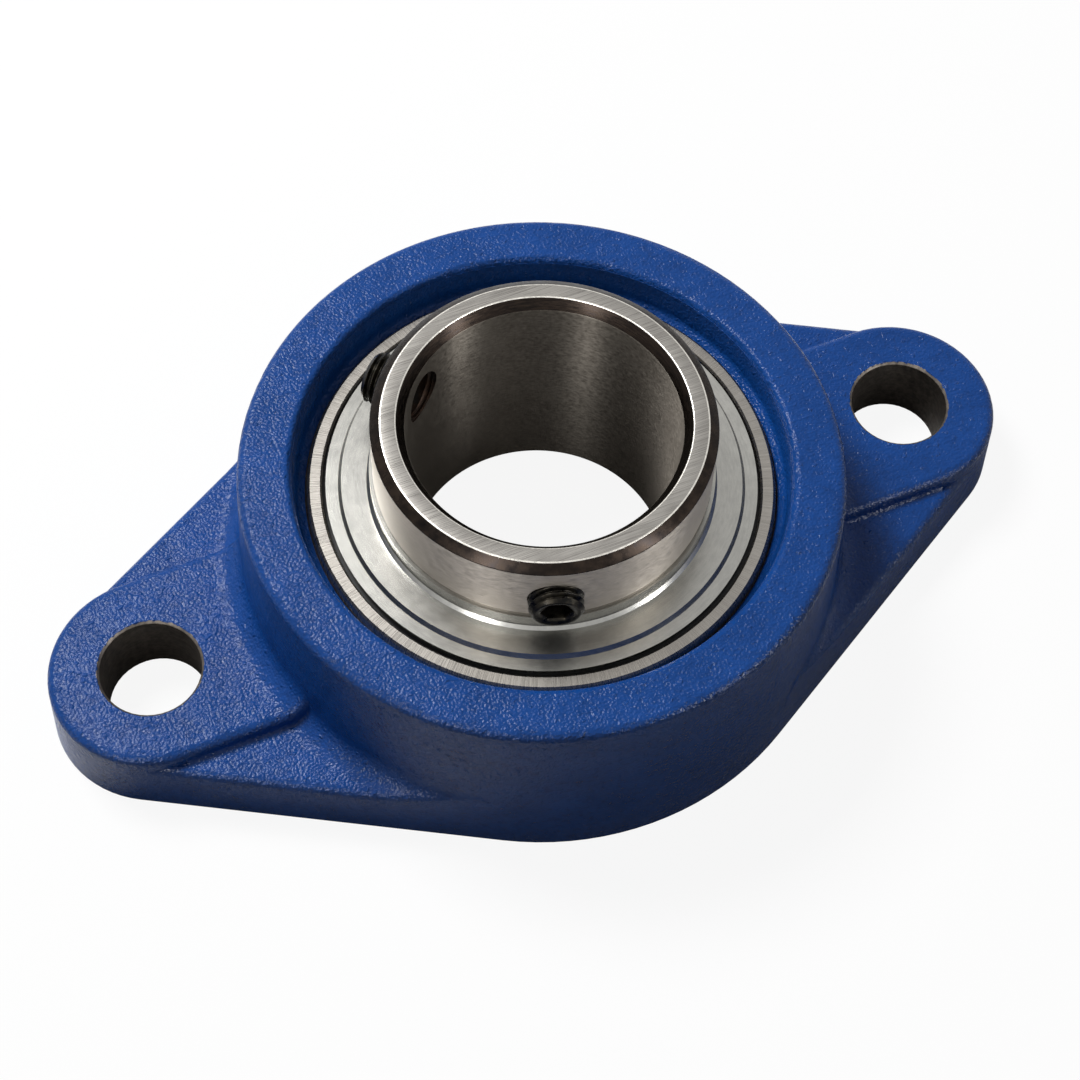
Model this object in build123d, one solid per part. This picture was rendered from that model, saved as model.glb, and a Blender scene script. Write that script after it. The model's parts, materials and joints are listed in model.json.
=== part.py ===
from build123d import *

# Two-bolt oval flange bearing unit for a 50 mm shaft, in millimetres: a cast housing, an insert ball
# bearing that aligns itself in a spherical seat, two set screws and a grease nipple.
# The origin lies on the mounting face at the bore axis. +Z leaves the front of the housing along the
# bore, X runs through both bolt holes, and +Y is the side that carries the grease nipple.
# The bearing grows outwards from its bore, and the housing follows the bearing, so that the outside of
# the bearing comes to 90 mm and the bolt spacing to 157 mm.

import os
from math import cos, pi, radians, sin, sqrt, tan

# Flange of the housing
BOLT_FROM_RING = 20.0  # bolt axis outside the foot of the ring wall, room for the bolt head
BOLT_HOLE_DIAMETER = 19.0
BOLT_HOLE_CHAMFER = 0.5
EAR_REACH = 20.0  # from the bolt axis to the end of the flange
EAR_RADIUS = 20.3  # round end of the flange
WEB_HEIGHT = 12.0  # low web between the pad and the outline that touches ring and ear
PAD_RISE = 3.0  # pad that the bolt head clamps, above the web
EDGE_ROUNDING = 1.8  # cast edges of the pad, the web and the ring
CAST_DRAFT = 3.6  # degrees, all outer walls of the casting
PAD_COVE = 5.5  # hollow blend from the pad up the ring wall
WEB_COVE = 5.0  # hollow blend from the web up the ring wall

# Bearing ring of the housing
RING_WALL = 13.45  # outside the spherical seat, at the mounting face
SEAT_INSET = 2.0  # end faces of the outer ring beyond each side of the seat
SEAT_CLEARANCE = 0.05  # radial, outer ring in its seat
RECESS_DEPTH = 8.0  # from the front of the seat to the front of the ring
RECESS_WIDTH = 1.7  # ledge round the front of the spherical seat
RECESS_LEDGE_RISE = 1.2  # how far the ledge climbs outwards
RECESS_DRAFT = 5.0  # degrees, wall of the recess
RECESS_COVE = 1.0
RECESS_RIM_ROUNDING = 1.2
REAR_OPENING_CLEARANCE = 0.5  # radial, rear opening outside the largest radius of the seat
REAR_OPENING_CHAMFER = 1.0
LOADING_SLOT_CLEARANCE = 0.5  # slot wider than the outer ring that enters through it

# Inner ring
BORE_DIAMETER = 50.0
BORE_CHAMFER = 1.6  # radial, mouth of the bore in the collar's end face
BORE_CHAMFER_DEPTH = 2.2
INNER_RING_WALL = 6.25  # at the collar
FRONT_CHAMFER = 1.85  # radial, outside of the collar's end face
FRONT_CHAMFER_DEPTH = 1.3
SHOULDER_STEP = 0.15  # radial, ground shoulder below the turned collar
SHOULDER_SHOWN = 1.0  # ground shoulder between the neck of the flinger and the collar
REAR_CHAMFER = 1.0  # both edges of the rear end face
REAR_OVERHANG = 7.0  # inner ring behind the outer ring
REAR_INSET = 3.0  # rear end of the inner ring in front of the mounting face

# Balls and outer ring
BALL_DIAMETER = 12.7
BALL_COUNT = 10
BALL_PLAY = 0.1  # between a ball and the bottom of each raceway
RACEWAY_DEPTH = 2.55  # below the shoulders of each ring
GROOVE_CONFORMITY = 0.515  # raceway radius as a share of the ball diameter
OUTER_RING_WALL = 6.1  # from the shoulders of the raceway to the spherical outside
OUTER_EDGE_CHAMFER = 0.35

# Cage of two riveted halves
CAGE_SHEET = 1.0
CAGE_CLEARANCE = 1.5  # radial, to the shoulders of both rings
POCKET_CLEARANCE = 0.15
RIVET_DIAMETER = 1.5
RIVET_HEAD_DIAMETER = 2.8
RIVET_HEAD_HEIGHT = 0.6
RIVET_CLEARANCE = 0.03

# Seals and flingers
SEAL_FROM_BALL = 2.25  # axial, from a ball to the groove that holds the seal
SEAL_GROOVE_WIDTH = 1.6
SEAL_GROOVE_DEPTH = 0.8  # outside the mouth of the outer ring
SEAL_FACE_INSET = 1.8  # from the groove to the face of the outer ring
SEAL_MOUTH_STEP = 1.9  # radial, mouth of the outer ring outside its shoulder
SEAL_WEB = 1.3
SEAL_LIP_WIDTH = 1.6  # radial
SEAL_LIP_DEPTH = 2.4
SEAL_CLEARANCE = 0.05  # in its groove
SEAL_LIP_CLEARANCE = 0.1  # radial, lip on the inner ring
FLINGER_SHEET = 0.8
FLINGER_GAP = 0.7  # radial, flinger rim inside the mouth of the outer ring
FLINGER_PROUD = 0.4  # rim of the flinger beyond the face of the outer ring
FLINGER_RIM_WIDTH = 2.3
FLINGER_STEP = 0.9  # axial, disc beyond the rim
FLINGER_STEP_WIDTH = 0.6
FLINGER_NECK_LENGTH = 3.7  # sleeve on the inner ring beyond the disc
FLINGER_BEND = 0.6
FLINGER_FIT = 0.01  # radial

# Set screws
SCREW_DIAMETER = 10.0
SCREW_LENGTH = 8.0
SCREW_FROM_FLINGER = 0.6  # between the screw and the neck of the flinger
SCREW_FROM_END = 10.0  # from the screws' axes to the collar's end face
SCREW_PLACES = ((131.0, 2.4), (251.0, 1.25))  # degrees about Z from +X, and from the bore to the point
SCREW_CLEARANCE = 0.05  # radial
SCREW_END_CHAMFER = 0.7
SCREW_SOCKET = 5.0  # across flats
SCREW_SOCKET_DEPTH = 4.0
SCREW_CUP_DIAMETER = 5.5
SCREW_CUP_DEPTH = 0.8

# Grease passage
GREASE_GROOVE_WIDTH = 9.0  # round the seat, from the nipple to the holes in the outer ring
GREASE_GROOVE_DEPTH = 0.9
GREASE_HOLE_DIAMETER = 2.0
GREASE_HOLE_OFFSET = 6.6  # holes in the outer ring, in front of the bearing centre
GREASE_HOLE_COUNT = 2
GREASE_TRACK_DEPTH = 0.5  # shallow groove round the outer ring at those holes
GREASE_TRACK_WIDTH = 2.6
PASSAGE_DIAMETER = 3.0

# Grease nipple, its lengths in order from the spot face outwards
NIPPLE_SPOT_FACE_DIAMETER = 12.0
NIPPLE_SPOT_FACE_DEPTH = 0.6  # into the ring wall
NIPPLE_TAP_DEPTH = 7.0
NIPPLE_THREAD_DIAMETER = 6.0
NIPPLE_THREAD_LENGTH = 5.5
NIPPLE_THREAD_CLEARANCE = 0.03
NIPPLE_HEX = 7.0  # across flats
NIPPLE_HEX_HEIGHT = 3.0
NIPPLE_SHOULDER_LENGTH = 1.3  # cone from the hexagon down to the neck
NIPPLE_NECK_LENGTH = 1.0
NIPPLE_HEAD_FLARE = 1.6  # cone from the neck up to the head
NIPPLE_HEAD_BAND = 0.65
NIPPLE_NOSE_LENGTH = 1.95
NIPPLE_NECK_DIAMETER = 4.9
NIPPLE_HEAD_DIAMETER = 6.5
NIPPLE_MOUTH_DIAMETER = 1.9
NIPPLE_MOUTH_RIM = 0.6  # radial, flat round the mouth
NIPPLE_MOUTH_LAND = 0.5  # wall that the ball closes
NIPPLE_BORE_DIAMETER = 3.0
NIPPLE_BORE_FLOOR = 1.0  # wall that the spring rests on
NIPPLE_BALL_DIAMETER = 2.6
NIPPLE_SPRING_WIRE = 0.35
NIPPLE_SPRING_TURNS = 6
NIPPLE_PLAY = 0.05  # between ball, spring and bore

# For the modelling itself
PAST = 1.0  # how far a cut runs past the surface it opens
TOUCH = 0.01  # tolerance when edges are picked by their place
BASE = (Align.CENTER, Align.CENTER, Align.MIN)

# Radii of the bearing, from the bore outwards
bore_radius = BORE_DIAMETER / 2
ball_radius = BALL_DIAMETER / 2
collar_radius = bore_radius + INNER_RING_WALL
inner_shoulder = collar_radius - SHOULDER_STEP
race_offset = ball_radius + BALL_PLAY
pitch_radius = inner_shoulder - RACEWAY_DEPTH + race_offset
outer_shoulder = pitch_radius + race_offset - RACEWAY_DEPTH
mouth_radius = outer_shoulder + SEAL_MOUTH_STEP
sphere_radius = outer_shoulder + OUTER_RING_WALL
groove_radius = GROOVE_CONFORMITY * BALL_DIAMETER

# Heights of the bearing, from the mounting face to the end of the collar
half_width = ball_radius + SEAL_FROM_BALL + SEAL_GROOVE_WIDTH + SEAL_FACE_INSET
rear_end = REAR_INSET
centre_height = rear_end + REAR_OVERHANG + half_width
face_height = centre_height + half_width
flinger_face = face_height + FLINGER_PROUD + FLINGER_STEP
flinger_tip = flinger_face + FLINGER_NECK_LENGTH
collar_start = flinger_tip + SHOULDER_SHOWN
screw_height = flinger_tip + SCREW_FROM_FLINGER + SCREW_DIAMETER / 2
front_end = screw_height + SCREW_FROM_END

# Housing round the bearing
seat_radius = sphere_radius + SEAT_CLEARANCE
seat_half_width = half_width - SEAT_INSET
seat_front = centre_height + seat_half_width
seat_rear = centre_height - seat_half_width
ring_radius = seat_radius + RING_WALL
ring_height = seat_front + RECESS_DEPTH
pad_height = WEB_HEIGHT + PAD_RISE
side_cove = PAD_RISE - EDGE_ROUNDING
bolt_offset = ring_radius + BOLT_FROM_RING
ear_offset = bolt_offset + EAR_REACH - EAR_RADIUS
flange_start = ring_radius / 2
draft = radians(CAST_DRAFT)
grease_groove_middle = centre_height + GREASE_HOLE_OFFSET / 2


def turned(*outline):
    """Solid of revolution about Z of a closed outline of (radius, height) points."""
    return revolve(Plane.XZ * Polygon(*outline, align=None), Axis.Z)


def cylinder(radius, low, high):
    return Pos(0, 0, low) * Cylinder(radius, high - low, align=BASE)


def band(inner, outer, low, high):
    """Plain ring about Z."""
    return cylinder(outer, low, high) - cylinder(inner, low, high)


def radial(shape, angle, height):
    """Puts a shape made along +Z from the origin along the radius at an angle and a height."""
    return Pos(0, 0, height) * Rot(0, 0, angle) * Rot(0, 90, 0) * shape


def mirrored(shape):
    """The same shape on the rear side of the bearing centre."""
    return shape.mirror(Plane.XY.offset(centre_height))


def top_edges(shape):
    return shape.edges().group_by(Axis.Z)[-1]


def circles_at(shape, height):
    """Round edges that lie level at a height."""
    circles = shape.edges().filter_by(GeomType.CIRCLE)
    return [e for e in circles if abs(e.center().Z - height) < TOUCH]


# Housing


def drafted(size, height):
    """Radius or half-width at a height of a cast wall that has the given size on the mounting face."""
    return size - height * tan(draft)


def web_outline():
    """One ear joined to the ring by the two lines that touch both, on the +X side."""
    share = (ring_radius - EAR_RADIUS) / ear_offset
    rest = sqrt(1 - share**2)
    near = (ring_radius * share, ring_radius * rest)
    far = (ear_offset + EAR_RADIUS * share, EAR_RADIUS * rest)
    sides = Polygon((near[0], -near[1]), (far[0], -far[1]), far, near, align=None)
    return sides + Pos(ear_offset, 0) * Circle(EAR_RADIUS)


def pad_outline():
    """Parallel-sided bar from inside the ring to the ear, on the +X side."""
    length = ear_offset - flange_start
    bar = Pos(flange_start + length / 2, 0) * Rectangle(length, 2 * EAR_RADIUS)
    return bar + Pos(ear_offset, 0) * Circle(EAR_RADIUS)


def cove_axis(size, base, radius):
    """Distance of the centre of a hollow blend between a flat at height base and a drafted wall."""
    return drafted(size, base) + radius * (1 - sin(draft)) / cos(draft)


def cove_top(base, radius):
    """Height at which a hollow blend runs out into a drafted wall."""
    return base + radius * (1 - sin(draft))


def space_above(base, radius):
    """Everything above a level of the flange, ending in a hollow blend up the ring wall."""
    axis = cove_axis(ring_radius, base, radius)
    top = cove_top(base, radius)
    flat = band(axis, ear_offset + EAR_RADIUS + PAST, base, top + PAST)
    return flat + Pos(0, 0, base + radius) * Torus(axis, radius)


def level(outline, base, radius):
    """One level of the flange: its top sweeps up to the ring wall, and its whole edge is rounded."""
    top = cove_top(base, radius)
    blank = extrude(outline, top, taper=CAST_DRAFT)
    inner_end = blank.bounding_box().min.X + TOUCH
    seam = cove_axis(ring_radius, base, radius)
    body = blank - space_above(base, radius)
    rim = []
    for edge in body.edges():
        middle = edge @ 0.5
        on_top = base - TOUCH < middle.Z < top - TOUCH and middle.X > inner_end
        if on_top and abs(sqrt(middle.X**2 + middle.Y**2) - seam) > TOUCH:
            rim.append(edge)
    return fillet(rim, EDGE_ROUNDING)


def side_coves():
    """Hollow blends along both sides of the pad, where it stands on the web."""
    axis = cove_axis(EAR_RADIUS, WEB_HEIGHT, side_cove)
    top = cove_top(WEB_HEIGHT, side_cove)
    inside = axis - 2 * side_cove
    section = Rectangle(2 * side_cove, top - WEB_HEIGHT + side_cove, align=(Align.MIN, Align.MAX))
    section = Pos(inside, top) * section - Pos(axis, WEB_HEIGHT + side_cove) * Circle(side_cove)
    strip = Pos(flange_start, 0, 0) * extrude(Plane.YZ * section, ear_offset - flange_start)
    blank = extrude(web_outline(), WEB_HEIGHT + side_cove, taper=CAST_DRAFT)
    outer = top_edges(blank).filter_by(lambda e: (e @ 0.5).X > flange_start)
    ear = fillet(outer, EDGE_ROUNDING + side_cove)
    return (strip + mirror(strip, Plane.XZ)) & ear


def flange():
    """The ear on the +X side: its web, its pad and the blends between them."""
    web = level(web_outline(), WEB_HEIGHT, WEB_COVE)
    pad = level(pad_outline(), pad_height, PAD_COVE)
    return web + pad + side_coves()


def ring_wall():
    """Solid of the bearing ring, before it is bored."""
    top = drafted(ring_radius, ring_height)
    return fillet(top_edges(Cone(ring_radius, top, ring_height, align=BASE)), EDGE_ROUNDING)


def seat_edge():
    """Radius of the spherical seat at both of its ends."""
    return sqrt(seat_radius**2 - seat_half_width**2)


def front_recess():
    """Space in front of the seat: a sloping ledge, a steep wall and a rounded rim."""
    ledge = seat_front + RECESS_LEDGE_RISE
    edge = seat_edge()
    wall = edge + RECESS_WIDTH
    rim = wall + (ring_height - ledge) * tan(radians(RECESS_DRAFT))
    rim_start = ring_height - RECESS_RIM_ROUNDING
    space = turned(
        (0, seat_front),
        (edge, seat_front),
        (wall, ledge),
        (rim, ring_height),
        (0, ring_height),
    )
    space = fillet(circles_at(space, ledge), RECESS_COVE)
    flare = band(rim - RECESS_RIM_ROUNDING, rim + RECESS_RIM_ROUNDING, rim_start, ring_height)
    flare -= Pos(0, 0, rim_start) * Torus(rim + RECESS_RIM_ROUNDING, RECESS_RIM_ROUNDING)
    return space + flare


def seat_space():
    """Spherical seat, rear opening and the two slots through which the bearing is loaded."""
    sphere = Pos(0, 0, centre_height) * Sphere(seat_radius)
    space = sphere & cylinder(seat_radius + PAST, seat_rear, seat_front)
    opening = seat_radius + REAR_OPENING_CLEARANCE
    space += cylinder(opening, 0, seat_rear)
    space += Cone(opening + REAR_OPENING_CHAMFER, opening, REAR_OPENING_CHAMFER, align=BASE)
    slot = Box(2 * half_width + LOADING_SLOT_CLEARANCE, 2 * (seat_radius + PAST), 2 * centre_height)
    return space + (cylinder(seat_radius, seat_rear, centre_height) & slot)


def grease_passage():
    """Groove round the seat, and the tapped hole that the nipple fills it through."""
    low = grease_groove_middle - GREASE_GROOVE_WIDTH / 2
    groove = cylinder(seat_radius + GREASE_GROOVE_DEPTH, low, low + GREASE_GROOVE_WIDTH)
    tapped = NIPPLE_THREAD_DIAMETER / 2 + NIPPLE_THREAD_CLEARANCE
    hole = cylinder(PASSAGE_DIAMETER / 2, seat_radius - PAST, nipple_seat)
    hole += cylinder(tapped, nipple_seat - NIPPLE_TAP_DEPTH, nipple_seat)
    hole += cylinder(NIPPLE_SPOT_FACE_DIAMETER / 2, nipple_seat, ring_radius + PAST)
    return groove + radial(hole, 90, centre_height)


def bolt_holes():
    """Both bolt holes, with a small chamfer in the face of the pad."""
    radius = BOLT_HOLE_DIAMETER / 2
    mouth = Cone(radius, radius + BOLT_HOLE_CHAMFER, BOLT_HOLE_CHAMFER, align=BASE)
    hole = cylinder(radius, 0, pad_height) + Pos(0, 0, pad_height - BOLT_HOLE_CHAMFER) * mouth
    return [Pos(side * bolt_offset, 0, 0) * hole for side in (1, -1)]


def housing():
    """The casting: ring and both ears, then everything bored out of them."""
    ear = flange()
    casting = ring_wall() + ear + Rot(0, 0, 180) * ear
    casting -= seat_space()
    casting -= front_recess()
    casting -= grease_passage()
    return casting - bolt_holes()


# Insert bearing


def outer_ring():
    """Ring with a spherical outside, a raceway, seal grooves at both ends and its grease holes."""
    sphere = Pos(0, 0, centre_height) * Sphere(sphere_radius)
    body = sphere & band(outer_shoulder, sphere_radius + PAST, centre_height - half_width, face_height)
    body -= Pos(0, 0, centre_height) * Torus(pitch_radius + race_offset - groove_radius, groove_radius)
    body -= seal_mouth()
    body -= mirrored(seal_mouth())
    faces = circles_at(body, face_height) + circles_at(body, centre_height - half_width)
    body = chamfer(faces, OUTER_EDGE_CHAMFER)
    track = centre_height + GREASE_HOLE_OFFSET
    floor = sqrt(sphere_radius**2 - GREASE_HOLE_OFFSET**2) - GREASE_TRACK_DEPTH
    low, high = track - GREASE_TRACK_WIDTH / 2, track + GREASE_TRACK_WIDTH / 2
    body -= band(floor, sphere_radius + PAST, low, high)
    hole = cylinder(GREASE_HOLE_DIAMETER / 2, pitch_radius, sphere_radius + PAST)
    angles = [90 + 360 * k / GREASE_HOLE_COUNT for k in range(GREASE_HOLE_COUNT)]
    return body - [radial(hole, angle, track) for angle in angles]


def seal_mouth():
    """Space in the front end of the outer ring: the mouth, and the groove behind it."""
    groove = face_height - SEAL_FACE_INSET - SEAL_GROOVE_WIDTH
    mouth = cylinder(mouth_radius, groove, face_height)
    return mouth + cylinder(mouth_radius + SEAL_GROOVE_DEPTH, groove, groove + SEAL_GROOVE_WIDTH)


def inner_ring():
    """Wide ring: bore with both chamfers, turned collar, ground shoulders, raceway and tapped holes."""
    body = turned(
        (bore_radius + REAR_CHAMFER, rear_end),
        (inner_shoulder - REAR_CHAMFER, rear_end),
        (inner_shoulder, rear_end + REAR_CHAMFER),
        (inner_shoulder, collar_start),
        (collar_radius, collar_start),
        (collar_radius, front_end - FRONT_CHAMFER_DEPTH),
        (collar_radius - FRONT_CHAMFER, front_end),
        (bore_radius + BORE_CHAMFER, front_end),
        (bore_radius, front_end - BORE_CHAMFER_DEPTH),
        (bore_radius, rear_end + REAR_CHAMFER),
    )
    body -= Pos(0, 0, centre_height) * Torus(pitch_radius - race_offset + groove_radius, groove_radius)
    hole = cylinder(SCREW_DIAMETER / 2 + SCREW_CLEARANCE, bore_radius - PAST, collar_radius + PAST)
    return body - [radial(hole, angle, screw_height) for angle, _ in SCREW_PLACES]


def round_pitch_circle(k):
    """Place on the pitch circle, counted in ball spacings."""
    angle = 2 * pi * k / BALL_COUNT
    return Pos(pitch_radius * cos(angle), pitch_radius * sin(angle), centre_height)


def ball(k):
    return round_pitch_circle(k) * Sphere(ball_radius)


def cage_front():
    """Front half: a flat ring pressed up into a dome round every ball, with rivet holes between."""
    inner, outer = inner_shoulder + CAGE_CLEARANCE, outer_shoulder - CAGE_CLEARANCE
    pocket = ball_radius + POCKET_CLEARANCE
    sheet = band(inner, outer, centre_height, centre_height + CAGE_SHEET)
    limits = band(inner, outer, centre_height, centre_height + BALL_DIAMETER)
    dome = round_pitch_circle(0) * Sphere(pocket + CAGE_SHEET) & limits
    hollow = round_pitch_circle(0) * Sphere(pocket)
    hole = cylinder(RIVET_DIAMETER / 2 + RIVET_CLEARANCE, 0, CAGE_SHEET)
    turns = [Rot(0, 0, 360 * k / BALL_COUNT) for k in range(BALL_COUNT)]
    sheet += [turn * dome for turn in turns]
    sheet -= [turn * hollow for turn in turns]
    return sheet - [round_pitch_circle(k + 0.5) * hole for k in range(BALL_COUNT)]


def cage_rivets():
    """A rivet in the middle of the land between each pair of balls."""
    rivet = cylinder(RIVET_DIAMETER / 2, -CAGE_SHEET, CAGE_SHEET)
    rivet += cylinder(RIVET_HEAD_DIAMETER / 2, CAGE_SHEET, CAGE_SHEET + RIVET_HEAD_HEIGHT)
    rivet += cylinder(RIVET_HEAD_DIAMETER / 2, -CAGE_SHEET - RIVET_HEAD_HEIGHT, -CAGE_SHEET)
    return Compound(children=[round_pitch_circle(k + 0.5) * rivet for k in range(BALL_COUNT)])


def seal():
    """Front seal: a bead in the groove of the outer ring, a thin web and a lip on the inner ring."""
    groove = face_height - SEAL_FACE_INSET - SEAL_GROOVE_WIDTH
    low, high = groove + SEAL_CLEARANCE, groove + SEAL_GROOVE_WIDTH - SEAL_CLEARANCE
    bead = mouth_radius + SEAL_GROOVE_DEPTH - SEAL_CLEARANCE
    mouth = mouth_radius - SEAL_CLEARANCE
    lip = inner_shoulder + SEAL_LIP_CLEARANCE
    return turned(
        (bead, low),
        (bead, high),
        (mouth, high),
        (mouth, low + SEAL_WEB),
        (lip + 2 * SEAL_LIP_WIDTH, low + SEAL_WEB),
        (lip + SEAL_LIP_WIDTH, low + SEAL_WEB / 2),
        (lip, low + SEAL_WEB),
        (lip, low + SEAL_WEB - SEAL_LIP_DEPTH / 2),
        (lip + SEAL_LIP_WIDTH, low - SEAL_LIP_DEPTH / 4),
        (lip + 2 * SEAL_LIP_WIDTH, low),
    )


def flinger():
    """Front flinger: stepped sheet disc with a short neck pressed on the inner ring."""
    rim_face = flinger_face - FLINGER_STEP
    rim = mouth_radius - FLINGER_GAP
    step = rim - FLINGER_RIM_WIDTH
    disc = step - FLINGER_STEP_WIDTH
    inside = inner_shoulder + FLINGER_FIT
    neck = inside + FLINGER_SHEET
    back = flinger_face - FLINGER_SHEET
    return turned(
        (inside, back - FLINGER_BEND),
        (inside + FLINGER_BEND, back),
        (disc - FLINGER_SHEET / 2, back),
        (step - FLINGER_SHEET / 2, rim_face - FLINGER_SHEET),
        (rim, rim_face - FLINGER_SHEET),
        (rim, rim_face),
        (step, rim_face),
        (disc, flinger_face),
        (neck + FLINGER_BEND, flinger_face),
        (neck, flinger_face + FLINGER_BEND),
        (neck, flinger_tip),
        (inside, flinger_tip),
    )


def set_screw(angle, from_bore):
    """Socket set screw with a hollow cup point, its thread left plain."""
    body = cylinder(SCREW_DIAMETER / 2, 0, SCREW_LENGTH)
    body = chamfer(body.edges().filter_by(GeomType.CIRCLE), SCREW_END_CHAMFER)
    socket = extrude(RegularPolygon(SCREW_SOCKET / 2, 6, major_radius=False), SCREW_SOCKET_DEPTH)
    body -= Pos(0, 0, SCREW_LENGTH - SCREW_SOCKET_DEPTH) * socket
    body -= Cone(SCREW_CUP_DIAMETER / 2, 0, SCREW_CUP_DEPTH, align=BASE)
    return radial(Pos(0, 0, bore_radius + from_bore) * body, angle, screw_height)


# Grease nipple, made along +Z from the bore axis

nipple_seat = drafted(ring_radius, centre_height) - NIPPLE_SPOT_FACE_DEPTH
nipple_inner_end = nipple_seat - NIPPLE_THREAD_LENGTH
nipple_shoulder = nipple_seat + NIPPLE_HEX_HEIGHT
nipple_neck = nipple_shoulder + NIPPLE_SHOULDER_LENGTH
nipple_flare = nipple_neck + NIPPLE_NECK_LENGTH
nipple_head = nipple_flare + NIPPLE_HEAD_FLARE
nipple_nose = nipple_head + NIPPLE_HEAD_BAND
nipple_tip = nipple_nose + NIPPLE_NOSE_LENGTH
nipple_floor = nipple_inner_end + NIPPLE_BORE_FLOOR


def nipple_ball_centre():
    """The ball closes the mouth from inside."""
    reach = (NIPPLE_BALL_DIAMETER / 2) ** 2 - (NIPPLE_MOUTH_DIAMETER / 2) ** 2
    return nipple_tip - NIPPLE_MOUTH_LAND - sqrt(reach) - NIPPLE_PLAY


def grease_nipple():
    """Turned nipple with a hexagon, a necked head and a stepped bore."""
    body = cylinder(NIPPLE_THREAD_DIAMETER / 2, nipple_inner_end, nipple_seat)
    hexagon = extrude(RegularPolygon(NIPPLE_HEX / 2, 6, major_radius=False), NIPPLE_HEX_HEIGHT)
    body += Pos(0, 0, nipple_seat) * hexagon
    neck, head = NIPPLE_NECK_DIAMETER / 2, NIPPLE_HEAD_DIAMETER / 2
    mouth = NIPPLE_MOUTH_DIAMETER / 2
    body += turned(
        (0, nipple_shoulder),
        (head, nipple_shoulder),
        (neck, nipple_neck),
        (neck, nipple_flare),
        (head, nipple_head),
        (head, nipple_nose),
        (mouth + NIPPLE_MOUTH_RIM, nipple_tip),
        (0, nipple_tip),
    )
    body -= cylinder(mouth, nipple_inner_end, nipple_tip)
    bore_end = nipple_tip - NIPPLE_MOUTH_LAND - NIPPLE_PLAY
    body -= cylinder(NIPPLE_BORE_DIAMETER / 2, nipple_floor, bore_end)
    return radial(body, 90, centre_height)


def nipple_ball():
    return radial(Pos(0, 0, nipple_ball_centre()) * Sphere(NIPPLE_BALL_DIAMETER / 2), 90, centre_height)


def nipple_spring():
    """Coil spring between the ball and the floor of the nipple's bore."""
    wire = NIPPLE_SPRING_WIRE / 2
    low = nipple_floor + wire + NIPPLE_PLAY
    radius = NIPPLE_BORE_DIAMETER / 2 - NIPPLE_PLAY - wire
    touch = sqrt((NIPPLE_BALL_DIAMETER / 2 + NIPPLE_PLAY + wire) ** 2 - radius**2)
    height = nipple_ball_centre() - touch - low
    path = Pos(0, 0, low) * Helix(height / NIPPLE_SPRING_TURNS, height, radius)
    section = Plane(path @ 0, z_dir=path % 0) * Circle(wire)
    return radial(sweep(section, path, is_frenet=True), 90, centre_height)


def nodes():
    """Every piece by its name."""
    made = {
        "housing": housing(),
        "outer_ring": outer_ring(),
        "inner_ring": inner_ring(),
        "cage_front": cage_front(),
        "cage_rear": mirrored(cage_front()),
        "cage_rivets": cage_rivets(),
        "seal_front": seal(),
        "seal_rear": mirrored(seal()),
        "flinger_front": flinger(),
        "flinger_rear": mirrored(flinger()),
        "grease_nipple": grease_nipple(),
        "nipple_ball": nipple_ball(),
        "nipple_spring": nipple_spring(),
    }
    for k in range(BALL_COUNT):
        made[f"ball_{k + 1:02d}"] = ball(k)
    for k, (angle, from_bore) in enumerate(SCREW_PLACES):
        made[f"set_screw_{k + 1}"] = set_screw(angle, from_bore)
    return made


os.makedirs("parts", exist_ok=True)
for name, shape in nodes().items():
    export_step(shape, f"parts/{name}.step")
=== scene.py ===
import json
import math

import bmesh
import bpy
import numpy as np
from mathutils import Matrix, Vector

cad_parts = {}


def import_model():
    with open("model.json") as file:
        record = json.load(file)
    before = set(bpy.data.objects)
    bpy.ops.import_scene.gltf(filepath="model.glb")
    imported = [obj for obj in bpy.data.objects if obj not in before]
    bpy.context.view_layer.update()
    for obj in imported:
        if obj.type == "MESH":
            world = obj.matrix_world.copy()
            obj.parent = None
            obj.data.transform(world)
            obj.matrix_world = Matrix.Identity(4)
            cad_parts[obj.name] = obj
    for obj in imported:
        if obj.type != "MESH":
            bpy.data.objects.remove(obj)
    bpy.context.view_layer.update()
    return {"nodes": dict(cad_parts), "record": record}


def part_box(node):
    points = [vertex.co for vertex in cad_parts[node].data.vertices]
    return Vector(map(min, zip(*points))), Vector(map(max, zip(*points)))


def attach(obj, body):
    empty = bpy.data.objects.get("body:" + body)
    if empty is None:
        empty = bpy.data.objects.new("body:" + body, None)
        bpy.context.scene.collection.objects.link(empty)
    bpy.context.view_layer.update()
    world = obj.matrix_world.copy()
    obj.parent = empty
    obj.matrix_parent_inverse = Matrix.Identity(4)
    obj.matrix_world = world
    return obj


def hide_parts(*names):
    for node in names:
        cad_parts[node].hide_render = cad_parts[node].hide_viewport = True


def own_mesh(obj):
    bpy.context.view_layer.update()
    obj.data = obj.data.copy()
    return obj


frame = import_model()

MM = 0.001

# Sizes of the solids that the finer pieces and the materials repeat, in millimetres
CENTRE = 22.0  # height of the balls' plane above the mounting face
BORE = 25.0  # radius, as in the next two
SHOULDER = 31.1
COLLAR = 31.25
STEP = 40.0  # height at which the shoulder ends and the collar begins
REAR_END = 3.0
FRONT_END = 54.6
PITCH_RADIUS = 35.0
RACE_DEPTH = 6.45  # from the balls' centres to the bottom of the raceway
GROOVE = 6.5405  # radius of the raceway's own arc
SPHERE = 45.0  # radius of the outer ring's outside
SEAT_HALF = 10.0
BOLT_OFFSET = 78.5
BOLT_RADIUS = 9.5
SCREW_LENGTH = 8.0
SOCKET_HALF = 2.5  # half the width of the hexagon across its flats
HOLE_RADIUS = 5.05

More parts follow.
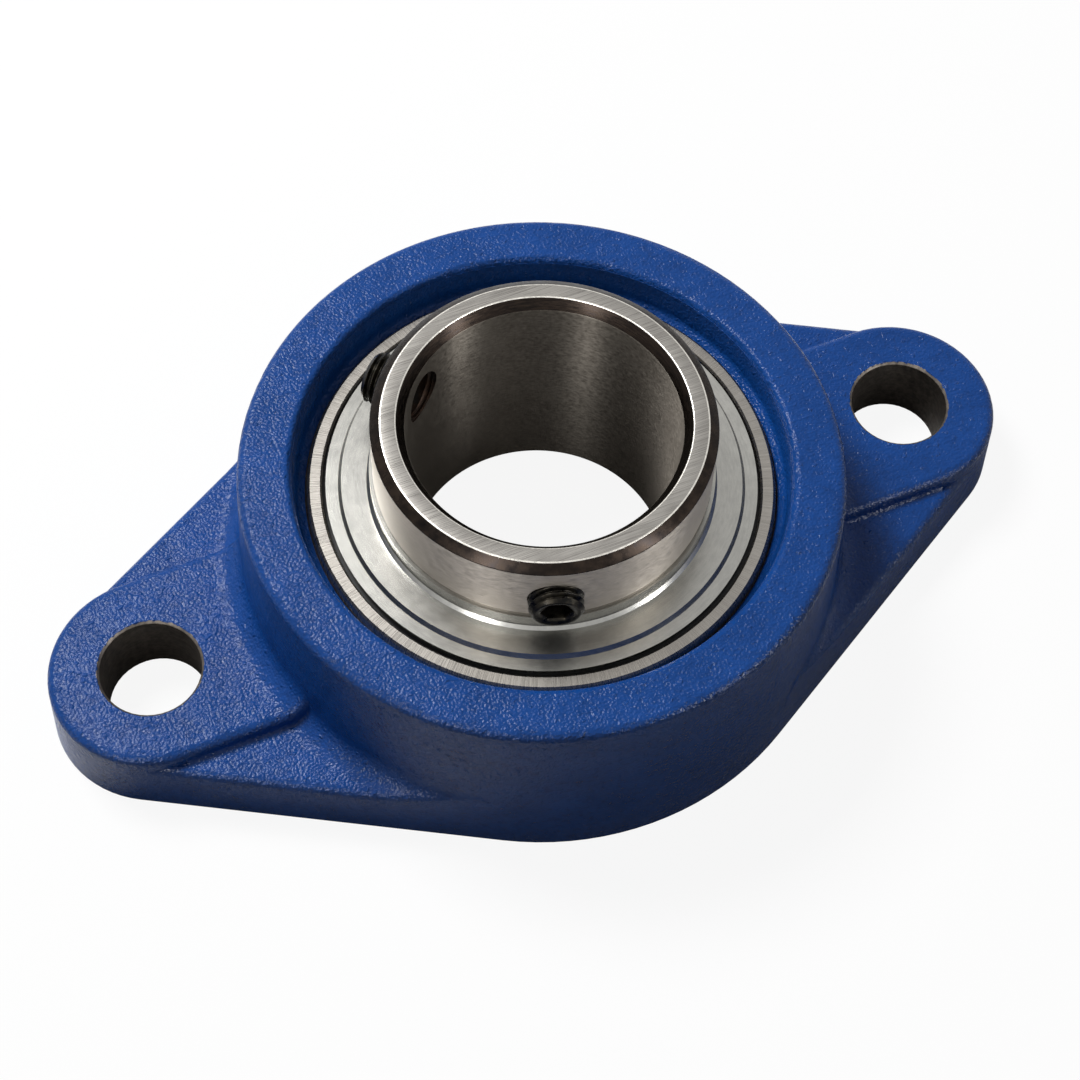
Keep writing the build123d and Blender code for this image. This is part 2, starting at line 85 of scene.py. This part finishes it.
# Chamfers of the inner ring: across the end face, then along the axis
REAR_CHAMFER = (1.0, 1.0)
COLLAR_CHAMFER = (1.85, 1.3)
BORE_CHAMFER = (1.6, 2.2)
EDGE_RADIUS = 0.14

# Thread of the set screws, which a cone cuts back at each end
THREAD_PITCH = 1.25
THREAD_ROOT = 4.22
THREAD_DEPTH = 0.74
FLANK_SLOPE = 2.6  # rise of a flank in thread depths for a whole turn
FLANK_TOP = 1.15  # where both flanks would meet, in thread depths, if the crest weren't flat
SOCKET_END_RADIUS = 4.15
SOCKET_END_SLOPE = 0.95
CUP_END_RADIUS = 3.85

# Thread in the mouths of their holes
MOUTH_ROOT = HOLE_RADIUS + 0.02
MOUTH_OUTSIDE = HOLE_RADIUS + 0.08
MOUTH_DEPTH = 0.62
MOUTH_START = BORE + 0.12
MOUTH_END = BORE + 1.15

# The cylinder that cuts a hole: its length, and how far from the bore axis its middle stands
CUTTER_LENGTH = 20.0
CUTTER_MIDDLE = 28.0

# Angles at which an edge begins to look sharp, in degrees
SHARP = 32.0
SHARP_THREAD = 50.0


def rgb(r, g, b):
    """A colour as it shows on a screen, 0 to 255, in linear values."""
    def linear(v):
        v /= 255.0
        return v / 12.92 if v <= 0.04045 else ((v + 0.055) / 1.055) ** 2.4
    return (linear(r), linear(g), linear(b), 1.0)


def grey(v):
    """A grey of this linear value."""
    return (v, v, v, 1.0)


# Node trees


class Tree:
    """Short way to build the nodes of a material or a world."""

    MIX_SOCKETS = {"RGBA": (6, 7, 2), "FLOAT": (2, 3, 0), "VECTOR": (4, 5, 1)}

    def __init__(self, owner):
        owner.use_nodes = True
        self.tree = owner.node_tree
        self.tree.nodes.clear()

    def feed(self, socket, value):
        """Links an output to the socket, or sets the socket's own value."""
        if hasattr(value, "is_output"):
            self.tree.links.new(value, socket)
        else:
            socket.default_value = value

    def node(self, kind, inputs=(), **settings):
        """New node. Its inputs come in their order, or as a dict by name or number."""
        made = self.tree.nodes.new("ShaderNode" + kind)
        for key, value in settings.items():
            setattr(made, key, value)
        for key, value in inputs.items() if isinstance(inputs, dict) else enumerate(inputs):
            self.feed(made.inputs[key], value)
        return made

    def math(self, operation, a, b=0.0, clamp=False):
        return self.node("Math", (a, b), operation=operation, use_clamp=clamp).outputs[0]

    def length(self, a, b):
        """Length of the vector with these two components."""
        squares = self.math("ADD", self.math("MULTIPLY", a, a), self.math("MULTIPLY", b, b))
        return self.math("SQRT", squares)

    def ramp(self, value, *stops):
        """Colour ramp through (position, colour) stops."""
        made = self.node("ValToRGB", (value,))
        for element, (place, colour) in zip(made.color_ramp.elements, stops):
            element.position = place
            element.color = colour
        return made.outputs[0]

    def span(self, value, low, high, new_low, new_high):
        """Value from the range low to high, held within it, in the new range."""
        return self.node("MapRange", (value, low, high, new_low, new_high)).outputs[0]

    def spread(self, noise, low, high):
        """Noise, which keeps to about 0.3 to 0.7, in this range."""
        return self.span(noise, 0.3, 0.7, low, high)

    def mix(self, factor, a, b, kind="RGBA", mode="MIX"):
        first, second, out = self.MIX_SOCKETS[kind]
        sockets = {0: factor, first: a, second: b}
        return self.node("Mix", sockets, data_type=kind, blend_type=mode).outputs[out]

    def place(self):
        return self.node("TexCoord").outputs["Object"]

    def scaled(self, vector, *factors):
        return self.node("Mapping", {"Vector": vector, "Scale": factors}).outputs[0]

    def noise(self, vector, scale, detail=2.0, roughness=0.5):
        inputs = {"Vector": vector, "Scale": scale, "Detail": detail, "Roughness": roughness}
        return self.node("TexNoise", inputs).outputs[0]

    def round_vector(self, angle_scale, radius_scale, height_scale):
        """Vector that follows a turned surface: it wraps without a seam, since it uses sine and cosine."""
        x, y, z = self.node("SeparateXYZ", (self.place(),)).outputs
        angle = self.math("ARCTAN2", y, x)
        east = self.math("MULTIPLY", self.math("COSINE", angle), angle_scale)
        north = self.math("MULTIPLY", self.math("SINE", angle), angle_scale)
        outward = self.math("MULTIPLY", self.length(x, y), radius_scale)
        along = self.math("ADD", outward, self.math("MULTIPLY", z, height_scale))
        return self.node("CombineXYZ", (east, north, along)).outputs[0]

    def bump(self, height, distance, strength, normal=None):
        """Normal over a height map whose full height is the distance in millimetres."""
        inputs = {"Height": height, "Distance": distance * MM, "Strength": strength}
        if normal is not None:
            inputs["Normal"] = normal
        return self.node("Bump", inputs).outputs[0]


class Material(Tree):
    """Node tree of a new material, with its shader in place."""

    def __init__(self, name):
        self.material = bpy.data.materials.new(name)
        super().__init__(self.material)
        self.shader = self.node("BsdfPrincipled")
        self.output = self.node("OutputMaterial", (self.shader.outputs[0],))

    def set(self, **values):
        for key, value in values.items():
            self.feed(self.shader.inputs[key.replace("_", " ")], value)

    def stretch(self, amount):
        """Stretches highlights across the tool marks, which run round the bore axis."""
        around = self.node("Tangent", direction_type="RADIAL", axis="Z").outputs[0]
        self.set(Anisotropic=amount, Anisotropic_Rotation=0.25, Tangent=around)


# Materials


def machined_places(n, place, wear):
    """Where the casting is bare: bolt holes with the bare rims round them, spherical seat and mounting face.
    The second value tells the rims alone, which get a painted highlight. Each limit lies a little beyond the
    surface that it is meant for."""
    x, y, z = n.node("SeparateXYZ", (place,)).outputs
    to_bolt = n.length(n.math("SUBTRACT", n.math("ABSOLUTE", x), BOLT_OFFSET * MM), y)
    in_hole = n.math("LESS_THAN", to_bolt, (BOLT_RADIUS + 0.06) * MM)
    ragged = n.span(wear, 0.35, 0.65, 0.35 * MM, 0.6 * MM)
    rim_edge = n.math("ADD", ragged, (BOLT_RADIUS - 0.05) * MM)
    on_rim = n.math("LESS_THAN", to_bolt, rim_edge)
    above = n.math("SUBTRACT", z, CENTRE * MM)
    to_centre = n.length(n.length(x, y), above)
    near = n.math("LESS_THAN", to_centre, (SPHERE + 0.3) * MM)
    level = n.math("LESS_THAN", n.math("ABSOLUTE", above), (SEAT_HALF + 0.1) * MM)
    in_seat = n.math("MULTIPLY", near, level)
    under = n.math("LESS_THAN", z, 0.02 * MM)
    bare = n.math("MAXIMUM", n.math("MAXIMUM", in_hole, on_rim), n.math("MAXIMUM", in_seat, under))
    return bare, n.math("SUBTRACT", on_rim, in_hole, clamp=True)


def enamel(n, place):
    """Colour, roughness and normal of blue enamel with an orange peel over a rough casting. The colour is
    darker in the valleys of the lumps: painted shade.
    """
    swell = n.noise(place, 120.0)
    lumps = n.noise(place, 780.0, 1.0, 0.4)
    peel = n.noise(place, 2000.0, 1.0, 0.35)
    pimples = n.span(n.noise(place, 900.0, 0.0), 0.68, 0.82, 0.0, 1.0)
    tint = n.ramp(swell, (0.3, (0.004, 0.045, 0.205, 1.0)), (0.7, (0.006, 0.056, 0.25, 1.0)))
    # Painted shade: the colour darkens in the valleys of the lumps
    painted_valley_shade = n.span(lumps, 0.3, 0.5, 0.86, 1.0)
    shade = n.node("CombineColor", (painted_valley_shade, painted_valley_shade, painted_valley_shade)).outputs[0]
    normal = n.bump(swell, 0.8, 0.4)
    normal = n.bump(lumps, 0.13, 0.7, normal)
    normal = n.bump(peel, 0.23, 0.85, normal)
    normal = n.bump(pimples, 0.16, 0.8, normal)
    return n.mix(1.0, tint, shade, mode="MULTIPLY"), n.spread(peel, 0.18, 0.27), normal


def bare_iron(n, place, wear, rim_highlight):
    """Colour, roughness and normal of the machined casting, brighter on the rims of the bolt holes: a painted
    highlight.
    """
    lines = n.noise(n.scaled(place, 60.0, 60.0, 4200.0), 1.0, 3.0, 0.6)
    dark = n.ramp(wear, (0.35, rgb(50, 46, 42)), (0.65, rgb(76, 70, 64)))
    bright = n.ramp(wear, (0.35, rgb(80, 75, 70)), (0.65, rgb(112, 105, 98)))
    # Painted highlight: the rims get a brighter iron than the rest of the bare casting
    return n.mix(rim_highlight, dark, bright), n.spread(lines, 0.42, 0.6), n.bump(lines, 0.03, 0.6)


def painted_casting():
    n = Material("blue_enamel")
    place = n.place()
    wear = n.noise(place, 900.0, 3.0, 0.6)
    bare, rim_highlight = machined_places(n, place, wear)
    colour, rough, normal = enamel(n, place)
    iron_colour, iron_rough, iron_normal = bare_iron(n, place, wear, rim_highlight)
    n.set(
        Base_Color=n.mix(bare, colour, iron_colour),
        Roughness=n.mix(bare, rough, iron_rough, "FLOAT"),
        Normal=n.mix(bare, normal, iron_normal, "VECTOR"),
        Metallic=n.math("MULTIPLY", bare, 0.8),
        Specular_IOR_Level=0.14,
    )
    return n.material


def cut_steel():
    """Bare stained steel inside the tapped holes."""
    n = Material("cut_steel")
    lines = n.noise(n.scaled(n.place(), 60.0, 60.0, 5200.0), 1.0, 3.0, 0.6)
    stain = n.noise(n.place(), 260.0, 3.0)
    n.set(Base_Color=n.ramp(stain, (0.4, rgb(44, 40, 37)), (0.7, rgb(84, 60, 44))), Metallic=0.7)
    n.set(Roughness=n.spread(lines, 0.4, 0.6), Normal=n.bump(lines, 0.04, 0.6))
    return n.material


def turned_steel(name, dark, bright, roughness, scales, depth, stretch=0.0):
    """Turned or ground steel whose tool marks follow the turning. The scales are those round the axis,
    outward and along it."""
    n = Material(name)
    marks = n.noise(n.round_vector(*scales), 1.0, 4.0, 0.6)
    tone = n.mix(0.3, marks, n.noise(n.place(), 120.0, 3.0), "FLOAT")
    n.set(Base_Color=n.ramp(tone, (0.32, dark), (0.62, bright)), Metallic=1.0)
    n.set(Roughness=n.spread(marks, roughness - 0.06, roughness + 0.08))
    n.set(Normal=n.bump(marks, depth, 0.5))
    if stretch:
        n.stretch(stretch)
    return n.material


def ground_face():
    """End face of the inner ring, with straight grinding strokes along X."""
    n = Material("ground_face")
    strokes = n.noise(n.scaled(n.place(), 90.0, 5200.0, 5200.0), 1.0, 3.0, 0.6)
    tone = n.mix(0.4, strokes, n.noise(n.place(), 160.0, 3.0), "FLOAT")
    n.set(Base_Color=n.ramp(tone, (0.35, rgb(117, 114, 110)), (0.6, rgb(142, 139, 134))), Metallic=1.0)
    n.set(Roughness=n.spread(strokes, 0.24, 0.34), Normal=n.bump(strokes, 0.006, 0.5))
    return n.material


def zinc_sheet():
    """Pressed zinc plated sheet with a faint round grain and bloom."""
    n = Material("zinc_sheet")
    grain = n.noise(n.round_vector(16.0, 2600.0, 2600.0), 1.0, 3.0, 0.6)
    bloom = n.noise(n.place(), 420.0, 3.0, 0.6)
    tone = n.mix(0.4, grain, bloom, "FLOAT")
    n.set(Base_Color=n.ramp(tone, (0.35, rgb(146, 145, 141)), (0.62, rgb(158, 157, 152))), Metallic=1.0)
    n.set(Roughness=n.spread(bloom, 0.24, 0.27), Normal=n.bump(grain, 0.004, 0.5))
    n.stretch(0.2)
    return n.material


def speckled(name, noise, dark, bright, roughness, bump, metallic):
    """One fine noise gives the colour between two stops, the roughness and the bump."""
    n = Material(name)
    speck = n.noise(n.place(), *noise)
    n.set(Base_Color=n.ramp(speck, dark, bright), Metallic=metallic)
    n.set(Roughness=n.spread(speck, *roughness), Normal=n.bump(speck, *bump))
    return n.material


def materials():
    """Every material of the part, by the word that the pieces use for it."""
    return {
        "paint": painted_casting(),
        "cut_steel": cut_steel(),
        # The bore's steel is darker than the collar's of the same ring: painted shade inside the bore
        "bore": turned_steel(
            "ground_bore_painted_shade", rgb(78, 73, 67), rgb(101, 96, 89), 0.43, (26.0, 900.0, 2600.0), 0.01, 0.95
        ),
        "collar": turned_steel(
            "turned_collar", rgb(134, 128, 119), rgb(158, 151, 142), 0.46, (20.0, 2400.0, 3200.0), 0.01, 0.85
        ),
        "face": ground_face(),
        # Brighter steel on the rounded edges of the end faces: a painted edge highlight
        "edge_highlight": turned_steel(
            "edge_highlight_steel", rgb(188, 185, 178), rgb(214, 210, 202), 0.3, (60.0, 900.0, 900.0), 0.01
        ),
        # The chamfers' near-black colour is a painted dark reflection
        "chamfer": turned_steel(
            "chamfer_painted_dark_reflection", rgb(24, 22, 22), rgb(46, 39, 34), 0.26, (12.0, 1800.0, 1800.0), 0.01
        ),
        "ring": turned_steel(
            "turned_ring", rgb(127, 123, 118), rgb(144, 140, 134), 0.28, (240.0, 150.0, 0.0), 0.006
        ),
        "race": turned_steel(
            "polished_race", rgb(165, 163, 160), rgb(190, 188, 185), 0.12, (10.0, 900.0, 900.0), 0.002
        ),
        "sheet": zinc_sheet(),
        "rubber": speckled(
            "seal_rubber", (2200.0, 3.0), (0.3, rgb(20, 20, 20)), (0.7, rgb(34, 33, 32)),
            roughness=(0.5, 0.68), bump=(0.02, 0.6), metallic=0.0,
        ),
        "screw": speckled(
            "black_oxide", (700.0, 4.0, 0.6), (0.35, rgb(15, 14, 13)), (0.68, rgb(44, 40, 32)),
            roughness=(0.22, 0.38), bump=(0.01, 0.5), metallic=0.85,
        ),
        "nipple": speckled(
            "zinc_yellow", (500.0, 3.0), (0.35, rgb(170, 158, 112)), (0.65, rgb(196, 187, 152)),
            roughness=(0.22, 0.36), bump=(0.01, 0.4), metallic=1.0,
        ),
    }


MAT = materials()


# Meshes


def shade(mesh, sharp):
    mesh.shade_smooth()
    mesh.set_sharp_from_angle(angle=math.radians(sharp))


def to_object(name, mesh, body, replaces=(), sharp=SHARP):
    piece = bpy.data.objects.new(name, mesh)
    bpy.context.scene.collection.objects.link(piece)
    shade(mesh, sharp)
    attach(piece, body)
    if replaces:
        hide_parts(*replaces)
    return piece


def soften(outline, radius, steps=3):
    """Rounds the corners of a closed outline of (radius, height, material) points by a small arc. Where an
    end face meets its chamfers, the arc gets a brighter steel: a painted edge highlight."""
    nearly_straight = math.radians(165)
    shortest = 1e-4
    result = []
    for i, (x, z, kind) in enumerate(outline):
        before, after = outline[i - 1], outline[(i + 1) % len(outline)]
        here = Vector((x, z))
        back = Vector(before[:2]) - here
        on = Vector(after[:2]) - here
        reach = min(radius, 0.3 * back.length, 0.3 * on.length)
        if back.angle(on) > nearly_straight or reach < shortest:
            result.append((x, z, kind))
            continue
        start = here + back.normalized() * reach
        end = here + on.normalized() * reach
        # Painted edge highlight: arcs at the end faces' edges get the brighter steel
        on_arc = "edge_highlight" if "face" in (kind, before[2]) else kind
        for k in range(steps + 1):
            t = k / steps
            point = start * (1 - t) ** 2 + here * 2 * t * (1 - t) + end * t**2
            result.append((point.x, point.y, on_arc if k < steps else kind))
    return result


def arc(x, z, radius, start, end, steps, material):
    """Points (radius, height, material) on an arc between two angles in degrees."""
    return [
        (x + radius * math.cos(math.radians(a)), z + radius * math.sin(math.radians(a)), material)
        for a in np.linspace(start, end, steps)
    ]


def turned(name, outline, mats, segments=192):
    """Mesh of a closed outline of (radius, height, material of the face that follows) in millimetres."""
    points = np.array([(x, z) for x, z, _ in outline]) * MM
    count = len(points)
    angles = np.linspace(0, 2 * math.pi, segments, endpoint=False)
    verts = [(r * math.cos(a), r * math.sin(a), z) for a in angles for r, z in points]
    following = np.roll(points, -1, axis=0)
    area = sum(p[0] * q[1] - q[0] * p[1] for p, q in zip(points, following))
    faces = []
    for s in range(segments):
        t = (s + 1) % segments
        for i in range(count):
            j = (i + 1) % count
            quad = (s * count + i, s * count + j, t * count + j, t * count + i)
            faces.append(quad if area < 0 else quad[::-1])
    mesh = bpy.data.meshes.new(name)
    mesh.from_pydata(verts, [], faces)
    for material in mats:
        mesh.materials.append(MAT[material])
    for polygon in mesh.polygons:
        polygon.material_index = mats.index(outline[polygon.index % count][2])
    mesh.update()
    return mesh


def rounds_mesh(name, rounds, around, material, hollow=False):
    """Skin through rounds of points about Z, each given as (radius at an angle, height) in millimetres. A
    face closes each end. In a hollow piece, which starts with its inside, the last round joins the first."""
    points = []
    for radius_at, z in rounds:
        for k in range(around):
            a = 2 * math.pi * k / around
            radius = radius_at(a)
            points.append((radius * math.cos(a) * MM, radius * math.sin(a) * MM, z * MM))
    faces = []
    for low in range(0, len(points), around):
        high = (low + around) % len(points)
        for k in range(around):
            m = (k + 1) % around
            if hollow:
                faces.append((low + k, high + k, high + m, low + m))
            elif high:
                faces.append((low + k, low + m, high + m, high + k))
    if not hollow:
        first, last = range(around), range(len(points) - around, len(points))
        faces += [tuple(reversed(first)), tuple(last)]
    mesh = bpy.data.meshes.new(name)
    mesh.from_pydata(points, [], faces)
    mesh.materials.append(MAT[material])
    return mesh


def cut(piece, cutters):
    """Takes the cutters' volume out of a piece, exactly, and removes them."""
    for cutter in cutters:
        modifier = piece.modifiers.new("cut", "BOOLEAN")
        modifier.operation = "DIFFERENCE"
        modifier.solver = "EXACT"
        modifier.object = cutter
        modifier.material_mode = "TRANSFER"
    graph = bpy.context.evaluated_depsgraph_get()
    mesh = bpy.data.meshes.new_from_object(piece.evaluated_get(graph))
    piece.modifiers.clear()
    piece.data = mesh
    for cutter in cutters:
        bpy.data.objects.remove(cutter)


def travel(body):
    """Both limits of the slide that carries a body, in metres."""
    joints = frame["record"]["behaviour"]["joints"]
    return next(joint["range_m"] for joint in joints if joint["child"] == body)


# Set screws and their holes


def screw_place(node):
    """Angle and height of a set screw's axis, and how far its socket end stands from the bore axis."""
    low, high = (np.array(corner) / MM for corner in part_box(node))
    x, y, z = (low + high) / 2
    return math.degrees(math.atan2(y, x)), z, math.hypot(x, y) + SCREW_LENGTH / 2


def screw_body(node):
    return node.replace("set_screw", "screw")


def radial(angle, height, out=0.0):
    """Turns Z into the outward direction at this angle and height, and starts this far from the bore axis."""
    lift = Matrix.Translation((0, 0, height * MM))
    turn = Matrix.Rotation(math.radians(angle), 4, "Z") @ Matrix.Rotation(math.radians(90), 4, "Y")
    return lift @ turn @ Matrix.Translation((0, 0, out * MM))


def ridge(z, angle):
    """The screw's thread at a height above its point: 0 at the root, 1 at the crest."""
    turn = (z / THREAD_PITCH - angle / (2 * math.pi)) % 1.0
    return min(1.0, max(0.0, FLANK_TOP - abs(turn - 0.5) * FLANK_SLOPE))


def screw_radius(z, angle):
    """Radius of the screw, whose thread is cut back by a cone at each end."""
    thread = THREAD_ROOT + THREAD_DEPTH * ridge(z, angle)
    return min(thread, SOCKET_END_RADIUS + (SCREW_LENGTH - z) * SOCKET_END_SLOPE, CUP_END_RADIUS + z)


def hexagon(angle):
    """Radius of the hexagon socket."""
    return SOCKET_HALF / math.cos((angle + math.pi / 6) % (math.pi / 3) - math.pi / 6)


def screw(name, node):
    """Socket set screw with a cut thread, a hexagon socket and a cup point."""
    rows = 90
    rounds = [(lambda a, r=r: r, z) for r, z in ((0.3, 0.8), (2.4, 0.25), (2.9, 0.03), (3.4, 0.0))]
    for i in range(rows + 1):
        z = SCREW_LENGTH * i / rows
        rounds.append((lambda a, z=z: screw_radius(z, a), z))
    rounds += [
        (lambda a: 3.75, SCREW_LENGTH - 0.02),
        (lambda a: 3.2, SCREW_LENGTH - 0.25),
        (lambda a: min(3.0, hexagon(a) + 0.12), SCREW_LENGTH - 0.45),
        (hexagon, SCREW_LENGTH - 0.7),
        (hexagon, SCREW_LENGTH - 4.0),
        (lambda a: 2.3, SCREW_LENGTH - 4.15),
        (lambda a: 0.3, SCREW_LENGTH - 5.0),
    ]
    mesh = rounds_mesh(name, rounds, around=72, material="screw")
    angle, height, out = screw_place(node)
    mesh.transform(radial(angle, height, out - SCREW_LENGTH))
    to_object(name, mesh, screw_body(node), (node,), SHARP_THREAD)


def thread_mouth(name, node):
    """The first turns of the tapped hole's thread, where the bore shows them. The screw meets them at its
    lower limit, so its thread fits theirs there."""
    rows = 14
    angle, height, out = screw_place(node)
    point = out - SCREW_LENGTH + travel(screw_body(node))[0] / MM
    rounds = []
    for i in range(rows + 1):
        z = MOUTH_START + (MOUTH_END - MOUTH_START) * i / rows
        rounds.append((lambda a, z=z: MOUTH_ROOT - MOUTH_DEPTH * (1 - ridge(z - point, a)), z))
    rounds += [(lambda a: MOUTH_OUTSIDE, z) for z in (MOUTH_END, MOUTH_START)]
    mesh = rounds_mesh(name, rounds, around=96, material="cut_steel", hollow=True)
    mesh.transform(radial(angle, height))
    to_object(name, mesh, "inner", (), SHARP_THREAD)


def hole_cutter(node):
    """Cylinder that cuts a set screw's hole through the collar."""
    angle, height, _ = screw_place(node)
    made = bmesh.new()
    radius, depth = HOLE_RADIUS * MM, CUTTER_LENGTH * MM
    bmesh.ops.create_cone(made, cap_ends=True, segments=96, radius1=radius, radius2=radius, depth=depth)
    mesh = bpy.data.meshes.new("hole")
    made.to_mesh(mesh)
    made.free()
    mesh.transform(radial(angle, height, CUTTER_MIDDLE))
    mesh.materials.append(MAT["cut_steel"])
    cutter = bpy.data.objects.new("hole", mesh)
    bpy.context.scene.collection.objects.link(cutter)
    return cutter


# Inner ring and nipple spring


def inner_ring_outline():
    centre = PITCH_RADIUS - RACE_DEPTH + GROOVE
    half = math.degrees(math.acos((centre - SHOULDER) / GROOVE))
    race = arc(centre, CENTRE, GROOVE, 180 + half, 180 - half, steps=17, material="race")
    top_x, top_z, _ = race.pop()
    across, along = REAR_CHAMFER
    return [
        (BORE, REAR_END + along, "chamfer"),
        (BORE + across, REAR_END, "face"),
        (SHOULDER - across, REAR_END, "chamfer"),
        (SHOULDER, REAR_END + along, "collar"),
        *race,
        (top_x, top_z, "collar"),
        (SHOULDER, STEP, "collar"),
        (COLLAR, STEP, "collar"),
        (COLLAR, FRONT_END - COLLAR_CHAMFER[1], "chamfer"),
        (COLLAR - COLLAR_CHAMFER[0], FRONT_END, "face"),
        (BORE + BORE_CHAMFER[0], FRONT_END, "chamfer"),
        (BORE, FRONT_END - BORE_CHAMFER[1], "bore"),
    ]


def inner_ring():
    """Inner ring with softened edges and both tapped holes."""
    mats = ["bore", "collar", "face", "chamfer", "edge_highlight", "race", "cut_steel"]
    mesh = turned("inner_ring_fine", soften(inner_ring_outline(), EDGE_RADIUS), mats)
    piece = to_object("inner_ring_fine", mesh, "inner", ("inner_ring",))
    cut(piece, [hole_cutter(node) for node in ("set_screw_1", "set_screw_2")])
    shade(piece.data, SHARP)


def spring():
    """The nipple's coil, which the check ball presses together, as a copy of its solid in the collar's steel.
    """
    mesh = frame["nodes"]["nipple_spring"].data.copy()
    mesh.materials.clear()
    mesh.materials.append(MAT["collar"])
    coil = to_object("nipple_coil", mesh, "housing", ("nipple_spring",))
    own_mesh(coil)


inner_ring()
spring()
for number in (1, 2):
    screw(f"set_screw_{number}_threaded", f"set_screw_{number}")
    thread_mouth(f"tapped_mouth_{number}", f"set_screw_{number}")

# The solids that stay in the picture, with their materials
CAD_MATERIALS = {
    "housing": "paint",
    "outer_ring": "ring",
    "cage_front": "collar",
    "cage_rear": "collar",
    "cage_rivets": "collar",
    "seal_front": "rubber",
    "seal_rear": "rubber",
    "flinger_front": "sheet",
    "flinger_rear": "sheet",
    "grease_nipple": "nipple",
    "nipple_ball": "race",
}
for name, solid in frame["nodes"].items():
    kind = CAD_MATERIALS.get(name, "race" if name.startswith("ball") else None)
    if kind:
        solid.data.materials.clear()
        solid.data.materials.append(MAT[kind])


# Stage, lights and camera

FLOOR_HALF = 6.0  # in metres
FLOOR_THROWS = grey(0.3)  # what the object is lit by from below
FLOOR_LOOKS = grey(0.87)
FLOOR_GLOW = 0.91  # share of plain white in what the camera sees of the floor
ROOM_TINT = (0.98, 0.99, 1.0, 1.0)
ROOM_LIGHT = 0.16
LAMP_AIM = Vector((0, 0, 0.03))
KEY_SIZE = (0.34, 0.34)
CARD_SIZE = (0.12, 0.8)

# The photograph's camera, fitted to the bore, the bolt holes and the rings
CAMERA_PLACE = (-0.09275, -0.19554, 0.38793)
CAMERA_RIGHT = (0.9205, -0.3899, 0.0248)
CAMERA_BACK = (-0.2139, -0.4498, 0.8672)
CAMERA_LENS = 74.38


def seen(n):
    """1 for rays that look at the background: straight, in a reflection or through glass."""
    path = n.node("LightPath").outputs
    bounced = n.math("MAXIMUM", path["Is Glossy Ray"], path["Is Transmission Ray"])
    return n.math("MAXIMUM", path["Is Camera Ray"], bounced)


def stage():
    """Pale floor: it looks nearly white, keeps the shadow, and throws only a little light up."""
    h = FLOOR_HALF
    mesh = bpy.data.meshes.new("floor")
    mesh.from_pydata([(-h, -h, 0), (h, -h, 0), (h, h, 0), (-h, h, 0)], [], [(0, 1, 2, 3)])
    floor = bpy.data.objects.new("floor", mesh)
    bpy.context.scene.collection.objects.link(floor)
    n = Material("floor")
    n.set(Base_Color=n.mix(seen(n), FLOOR_THROWS, FLOOR_LOOKS), Roughness=0.95, Specular_IOR_Level=0.0)
    share = n.math("MULTIPLY", n.node("LightPath").outputs["Is Camera Ray"], FLOOR_GLOW)
    glow = n.node("Emission", (grey(1.0),)).outputs[0]
    mixed = n.node("MixShader", (share, n.shader.outputs[0], glow)).outputs[0]
    n.feed(n.output.inputs["Surface"], mixed)
    mesh.materials.append(n.material)


def world():
    """Dim room light, seen as a white background by the camera and in reflections."""
    made = bpy.data.worlds.new("studio")
    bpy.context.scene.world = made
    n = Tree(made)
    room = n.node("Background", (ROOM_TINT, ROOM_LIGHT)).outputs[0]
    white = n.node("Background", (grey(1.0),)).outputs[0]
    mixed = n.node("MixShader", (seen(n), room, white)).outputs[0]
    n.node("OutputWorld", (mixed,))


def lamp(name, place, size, power):
    """Flat lamp that faces the part. Place and size in metres, power in watts."""
    data = bpy.data.lights.new(name, "AREA")
    data.shape = "RECTANGLE"
    data.size, data.size_y = size
    data.energy = power
    made = bpy.data.objects.new(name, data)
    made.location = place
    made.rotation_euler = (LAMP_AIM - Vector(place)).to_track_quat("-Z", "Y").to_euler()
    bpy.context.scene.collection.objects.link(made)
    return made


def card(name, place, power):
    """Narrow bright card that only reflections show."""
    lamp(name, place, CARD_SIZE, power).visible_diffuse = False


def camera():
    """The photograph's view: from the lower left, 60 degrees above the flange."""
    data = bpy.data.cameras.new("camera")
    data.lens = CAMERA_LENS
    data.sensor_width = 36.0
    data.clip_start = 0.01
    made = bpy.data.objects.new("camera", data)
    right, back = Vector(CAMERA_RIGHT).normalized(), Vector(CAMERA_BACK).normalized()
    right = (right - back * right.dot(back)).normalized()
    turn = Matrix((right, back.cross(right), back)).transposed()
    made.matrix_world = Matrix.Translation(CAMERA_PLACE) @ turn.to_4x4()
    bpy.context.scene.collection.objects.link(made)
    bpy.context.scene.camera = made


stage()
world()
lamp("key", (-0.25, 0.5, 0.83), KEY_SIZE, 10.6)
card("left_card", (-0.72, -0.55, 0.68), 7.5)
card("right_card", (0.59, -0.79, 0.5), 7.5)
camera()
bpy.context.scene.view_settings.view_transform = "Standard"
